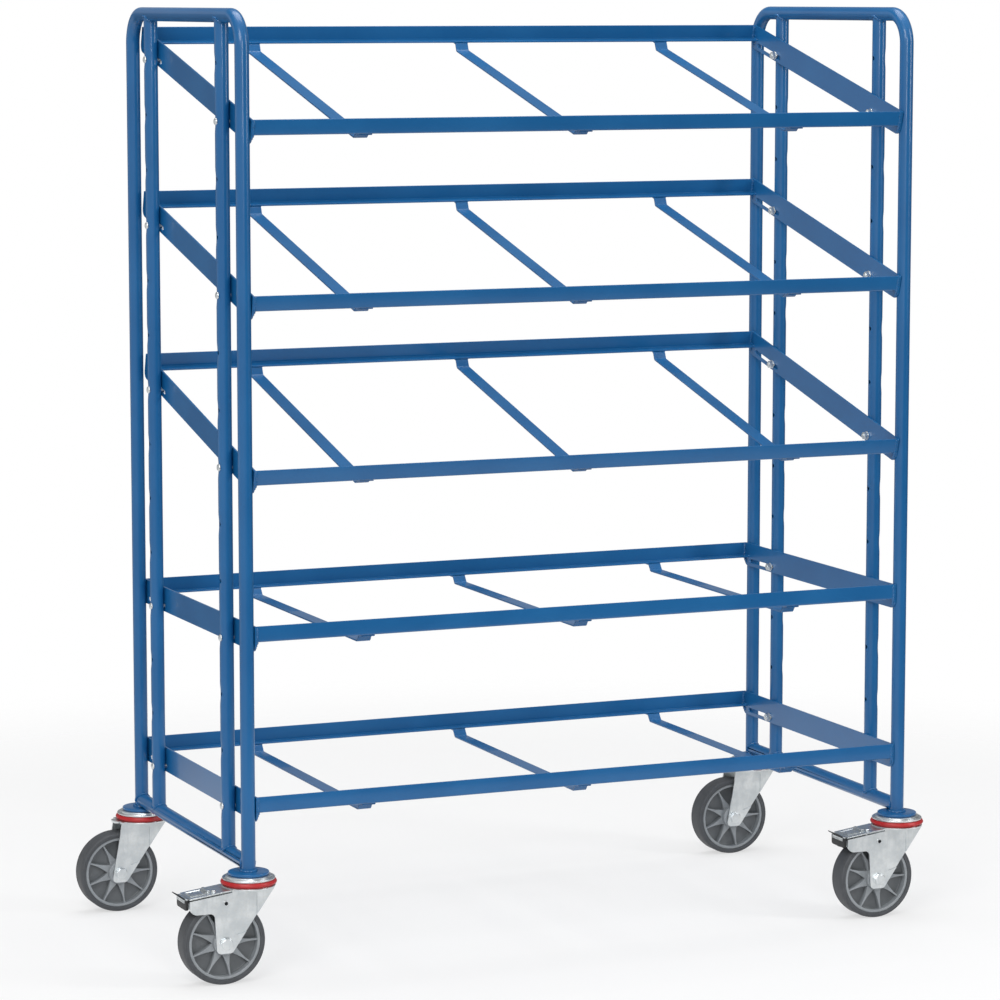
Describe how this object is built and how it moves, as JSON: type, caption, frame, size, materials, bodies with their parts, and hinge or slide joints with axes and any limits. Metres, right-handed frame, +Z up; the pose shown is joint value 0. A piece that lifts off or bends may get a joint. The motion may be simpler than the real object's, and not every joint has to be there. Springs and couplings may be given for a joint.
{
  "type": "euro box trolley",
  "caption": "Tall blue tube-frame trolley with level and tilted angle-rail trays for stacking boxes, on swivel casters with foot brakes at the front.",
  "frame": {"origin": "on the floor, under the middle of the trolley's outline with all casters trailing to the left", "axes": "+Z up, +X along the trays to the right, -Y towards the front, where the tilted trays are low"},
  "size_m": [1.4646, 0.699, 1.6835],
  "materials": {
    "blue_paint": "gloss powder coat",
    "zinc_plate": "bright zinc plating",
    "bearing_steel": "plain steel",
    "red_seal": "satin plastic",
    "rim_plastic": "moulded plastic",
    "tyre_rubber": "grey thermoplastic rubber",
    "brake_plastic": "black moulded plastic"
  },
  "bodies": {
    "frame": {"left_bow": "blue_paint", "right_bow": "blue_paint", "left_bottom_rail": "blue_paint", "right_bottom_rail": "blue_paint", "left_front_post": "blue_paint", "left_back_post": "blue_paint", "right_front_post": "blue_paint", "right_back_post": "blue_paint", "tray_1_rails": "blue_paint", "tray_1_side_plates": "blue_paint", "tray_1_cross_strips": "blue_paint", "tray_2_rails": "blue_paint", "tray_2_side_plates": "blue_paint", "tray_2_cross_strips": "blue_paint", "tray_3_rails": "blue_paint", "tray_3_side_plates": "blue_paint", "tray_3_cross_strips": "blue_paint", "tray_4_rails": "blue_paint", "tray_4_side_plates": "blue_paint", "tray_4_cross_strips": "blue_paint", "tray_5_rails": "blue_paint", "tray_5_side_plates": "blue_paint", "tray_5_cross_strips": "blue_paint", "tray_bolts": "zinc_plate", "tray_washers": "zinc_plate", "tray_nuts": "zinc_plate", "caster_discs": "blue_paint", "upper_races": "zinc_plate", "swivel_balls": "bearing_steel", "king_bolts": "zinc_plate"},
    "front_left_caster": {"front_left_fork": "zinc_plate", "front_left_seal_ring": "red_seal", "front_left_axle": "zinc_plate", "front_left_brake_rivets": "zinc_plate"},
    "front_left_wheel": {"front_left_rim": "rim_plastic", "front_left_tyre": "tyre_rubber", "front_left_bearings": "bearing_steel"},
    "front_left_brake": {"front_left_brake_pedal": "zinc_plate", "front_left_brake_shoe": "brake_plastic"},
    "back_left_caster": {"back_left_fork": "zinc_plate", "back_left_seal_ring": "red_seal", "back_left_axle": "zinc_plate"},
    "back_left_wheel": {"back_left_rim": "rim_plastic", "back_left_tyre": "tyre_rubber", "back_left_bearings": "bearing_steel"},
    "front_right_caster": {"front_right_fork": "zinc_plate", "front_right_seal_ring": "red_seal", "front_right_axle": "zinc_plate", "front_right_brake_rivets": "zinc_plate"},
    "front_right_wheel": {"front_right_rim": "rim_plastic", "front_right_tyre": "tyre_rubber", "front_right_bearings": "bearing_steel"},
    "front_right_brake": {"front_right_brake_pedal": "zinc_plate", "front_right_brake_shoe": "brake_plastic"},
    "back_right_caster": {"back_right_fork": "zinc_plate", "back_right_seal_ring": "red_seal", "back_right_axle": "zinc_plate"},
    "back_right_wheel": {"back_right_rim": "rim_plastic", "back_right_tyre": "tyre_rubber", "back_right_bearings": "bearing_steel"}
  },
  "joints": [
    {"name": "front_left_swivel", "type": "hinge", "parent": "frame", "child": "front_left_caster", "pos_m": [-0.5983, -0.3, 0.171], "axis": [0, 0, 1], "continuous": true},
    {"name": "front_left_roll", "type": "hinge", "parent": "front_left_caster", "child": "front_left_wheel", "pos_m": [-0.6493, -0.3, 0.075], "axis": [0, 1, 0], "continuous": true},
    {"name": "front_left_brake_press", "type": "hinge", "parent": "front_left_caster", "child": "front_left_brake", "pos_m": [-0.6493, -0.3, 0.1464], "axis": [0, -1, 0], "range_deg": [0, 14.5]},
    {"name": "back_left_swivel", "type": "hinge", "parent": "frame", "child": "back_left_caster", "pos_m": [-0.5983, 0.3, 0.171], "axis": [0, 0, 1], "continuous": true},
    {"name": "back_left_roll", "type": "hinge", "parent": "back_left_caster", "child": "back_left_wheel", "pos_m": [-0.6493, 0.3, 0.075], "axis": [0, 1, 0], "continuous": true},
    {"name": "front_right_swivel", "type": "hinge", "parent": "frame", "child": "front_right_caster", "pos_m": [0.6828, -0.3, 0.171], "axis": [0, 0, 1], "continuous": true},
    {"name": "front_right_roll", "type": "hinge", "parent": "front_right_caster", "child": "front_right_wheel", "pos_m": [0.6318, -0.3, 0.075], "axis": [0, 1, 0], "continuous": true},
    {"name": "front_right_brake_press", "type": "hinge", "parent": "front_right_caster", "child": "front_right_brake", "pos_m": [0.6318, -0.3, 0.1464], "axis": [0, -1, 0], "range_deg": [0, 14.5]},
    {"name": "back_right_swivel", "type": "hinge", "parent": "frame", "child": "back_right_caster", "pos_m": [0.6828, 0.3, 0.171], "axis": [0, 0, 1], "continuous": true},
    {"name": "back_right_roll", "type": "hinge", "parent": "back_right_caster", "child": "back_right_wheel", "pos_m": [0.6318, 0.3, 0.075], "axis": [0, 1, 0], "continuous": true}
  ]
}
